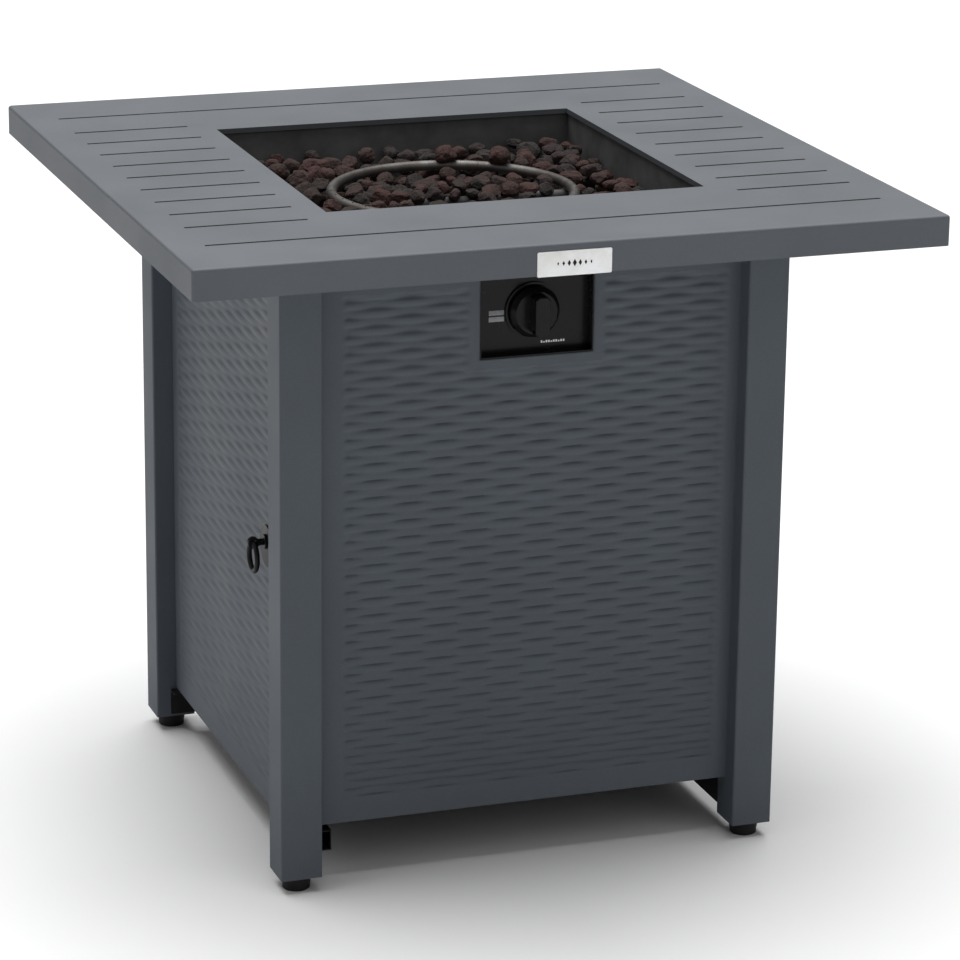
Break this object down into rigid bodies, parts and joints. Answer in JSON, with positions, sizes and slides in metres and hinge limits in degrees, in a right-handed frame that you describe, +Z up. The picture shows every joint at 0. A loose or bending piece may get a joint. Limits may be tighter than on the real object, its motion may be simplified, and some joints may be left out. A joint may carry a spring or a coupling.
{
  "type": "fire pit table",
  "caption": "Square gas fire-pit table: grooved steel top, sunken burner bowl with lava stones, woven-look side panels, tank door and control knob.",
  "frame": {"origin": "on the floor under the centre of the table, at the centre of the feet's bounding rectangle", "axes": "+Z up, -Y out of the front with the control knob, +X to the right seen from the front, so the tank door is on the -X side"},
  "size_m": [0.711, 0.7118, 0.635],
  "materials": {
    "top_paint": "matt_textured_powder_coat",
    "body_paint": "matt_textured_powder_coat",
    "frame_black": "satin_black_coat",
    "bowl_black": "matt_high_temperature_black",
    "burner_steel": "satin_stainless",
    "badge_metal": "satin_anodised",
    "pull_metal": "satin_black_coat",
    "zinc_steel": "zinc_plated",
    "brass": "machined",
    "valve_casting": "as_cast",
    "control_plastic": "gloss_black",
    "black_plastic": "matt_black",
    "lava_stone": "porous_rough",
    "ceramic": "unglazed"
  },
  "bodies": {
    "base": {"angle_screws": "zinc_steel", "back_panel": "body_paint", "badge_plate": "badge_metal", "bowl_nuts": "zinc_steel", "bowl_studs": "zinc_steel", "burner_bowl": "bowl_black", "burner_crossbar": "bowl_black", "burner_ring": "burner_steel", "burner_riser": "bowl_black", "control_tray": "control_plastic", "flame_sensor": "burner_steel", "front_panel": "body_paint", "gas_inlet": "brass", "gas_valve": "valve_casting", "heat_shield": "frame_black", "hinge_bracket_bottom": "frame_black", "hinge_pin_top": "zinc_steel", "hinge_washer": "black_plastic", "igniter_electrode": "ceramic", "knob_bezel": "control_plastic", "lava_rocks": "lava_stone", "leg_back_left": "body_paint", "leg_back_right": "body_paint", "leg_foot_nuts": "black_plastic", "leg_front_left": "body_paint", "leg_front_right": "body_paint", "leg_top_plugs": "black_plastic", "lower_rail_left": "frame_black", "lower_rail_right": "frame_black", "magnet_latch": "zinc_steel", "mixer_elbow": "bowl_black", "mixer_tube": "burner_steel", "panel_screws": "zinc_steel", "right_panel": "body_paint", "sensor_bracket": "bowl_black", "shield_spacers": "frame_black", "table_top": "top_paint", "tank_tray": "frame_black", "top_angle_back": "frame_black", "top_angle_front": "frame_black", "tray_screws": "zinc_steel", "upper_rail_back": "frame_black", "upper_rail_front": "frame_black", "upper_rail_left": "frame_black", "upper_rail_right": "frame_black", "valve_nozzle": "brass", "valve_screws": "zinc_steel"},
    "door": {"door_panel": "body_paint", "pull_rosette": "pull_metal", "pull_nut": "zinc_steel"},
    "ring_pull": {"pull_ring": "pull_metal"},
    "valve_core": {"valve_plug": "brass"},
    "knob": {"control_knob": "control_plastic", "valve_stem": "zinc_steel"},
    "foot_front_left": {"foot_front_left": "black_plastic"},
    "foot_front_right": {"foot_front_right": "black_plastic"},
    "foot_back_left": {"foot_back_left": "black_plastic"},
    "foot_back_right": {"foot_back_right": "black_plastic"}
  },
  "joints": [
    {"name": "door_hinge", "type": "hinge", "parent": "base", "child": "door", "pos_m": [-0.222, 0.198, 0.3275], "axis": [0, 0, -1], "range_deg": [0, 95]},
    {"name": "ring_pull_swing", "type": "hinge", "parent": "door", "child": "ring_pull", "pos_m": [-0.241, -0.138, 0.3125], "axis": [0, 1, 0], "range_deg": [-20, 90]},
    {"name": "knob_turn", "type": "hinge", "parent": "base", "child": "valve_core", "pos_m": [0.005, -0.2113, 0.537], "axis": [0, -1, 0], "range_deg": [0, 180]},
    {"name": "knob_push", "type": "slide", "parent": "valve_core", "child": "knob", "axis": [0, 1, 0], "range_m": [0, 0.003], "stiffness_N_per_m": 400},
    {"name": "foot_screw_front_left", "type": "slide", "parent": "base", "child": "foot_front_left", "axis": [0, 0, -1], "range_m": [0, 0.01]},
    {"name": "foot_screw_front_right", "type": "slide", "parent": "base", "child": "foot_front_right", "axis": [0, 0, -1], "range_m": [0, 0.01]},
    {"name": "foot_screw_back_left", "type": "slide", "parent": "base", "child": "foot_back_left", "axis": [0, 0, -1], "range_m": [0, 0.01]},
    {"name": "foot_screw_back_right", "type": "slide", "parent": "base", "child": "foot_back_right", "axis": [0, 0, -1], "range_m": [0, 0.01]}
  ]
}
